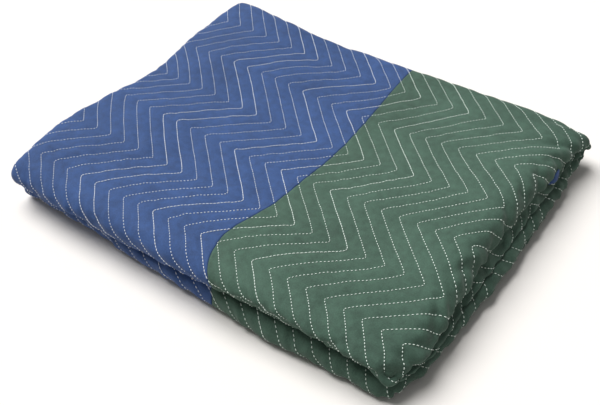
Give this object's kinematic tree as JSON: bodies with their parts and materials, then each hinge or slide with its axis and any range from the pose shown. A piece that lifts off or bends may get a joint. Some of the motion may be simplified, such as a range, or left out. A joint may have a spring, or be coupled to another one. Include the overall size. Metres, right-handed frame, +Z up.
{
  "type": "moving blanket, folded",
  "caption": "Quilted two-colour moving blanket, folded in thirds and then in quarters into a flat rectangular pack.",
  "frame": {"origin": "middle of the folded pack's footprint, on the surface it lies on", "axes": "+X across the blanket's width, from the blue side to the green side; +Y from the two front rolls to the back bend; +Z up"},
  "size_m": [0.626, 0.5328, 0.0751],
  "materials": {
    "blue_cloth": "matte woven polyester",
    "green_cloth": "matte woven polyester"
  },
  "bodies": {
    "root": {"blue_panel": "blue_cloth", "green_panel": "green_cloth"}
  },
  "joints": []
}
